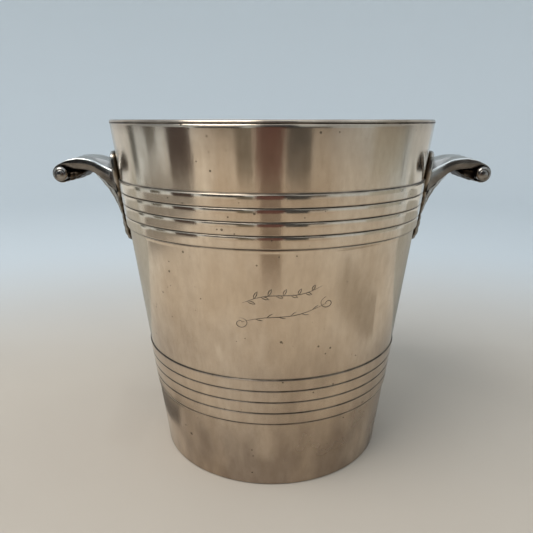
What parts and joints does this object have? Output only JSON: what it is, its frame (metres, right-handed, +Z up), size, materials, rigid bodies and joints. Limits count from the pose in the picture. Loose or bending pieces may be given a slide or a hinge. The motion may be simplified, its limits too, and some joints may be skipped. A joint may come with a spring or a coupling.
{
  "type": "champagne bucket",
  "caption": "Tapered silver-plated champagne bucket with two reeded bands and fixed cast scroll handles on leaf-shaped plates.",
  "frame": {"origin": "centre of the foot at table level, on the bucket's axis", "axes": "+Z up along the bucket's axis, +X through the handles, +Y away from the front"},
  "size_m": [0.2682, 0.1958, 0.21],
  "materials": {
    "silver_plate": "silver plate on spun brass, polished and worn, with light tarnish, hairline scratches and small pits",
    "cast_silver": "silver-plated casting with dark patina in the recesses and polished high points"
  },
  "bodies": {
    "root": {"bucket_wall": "silver_plate", "base_disc": "silver_plate", "foot_wire": "silver_plate", "rim_wire": "silver_plate", "right_back_plate": "cast_silver", "right_handle_arm": "cast_silver", "right_bracket_leaf": "cast_silver", "right_scroll_leaf": "cast_silver", "right_scroll_bar": "cast_silver", "right_front_button": "cast_silver", "right_rear_button": "cast_silver", "left_back_plate": "cast_silver", "left_handle_arm": "cast_silver", "left_bracket_leaf": "cast_silver", "left_scroll_leaf": "cast_silver", "left_scroll_bar": "cast_silver", "left_front_button": "cast_silver", "left_rear_button": "cast_silver"}
  },
  "joints": []
}
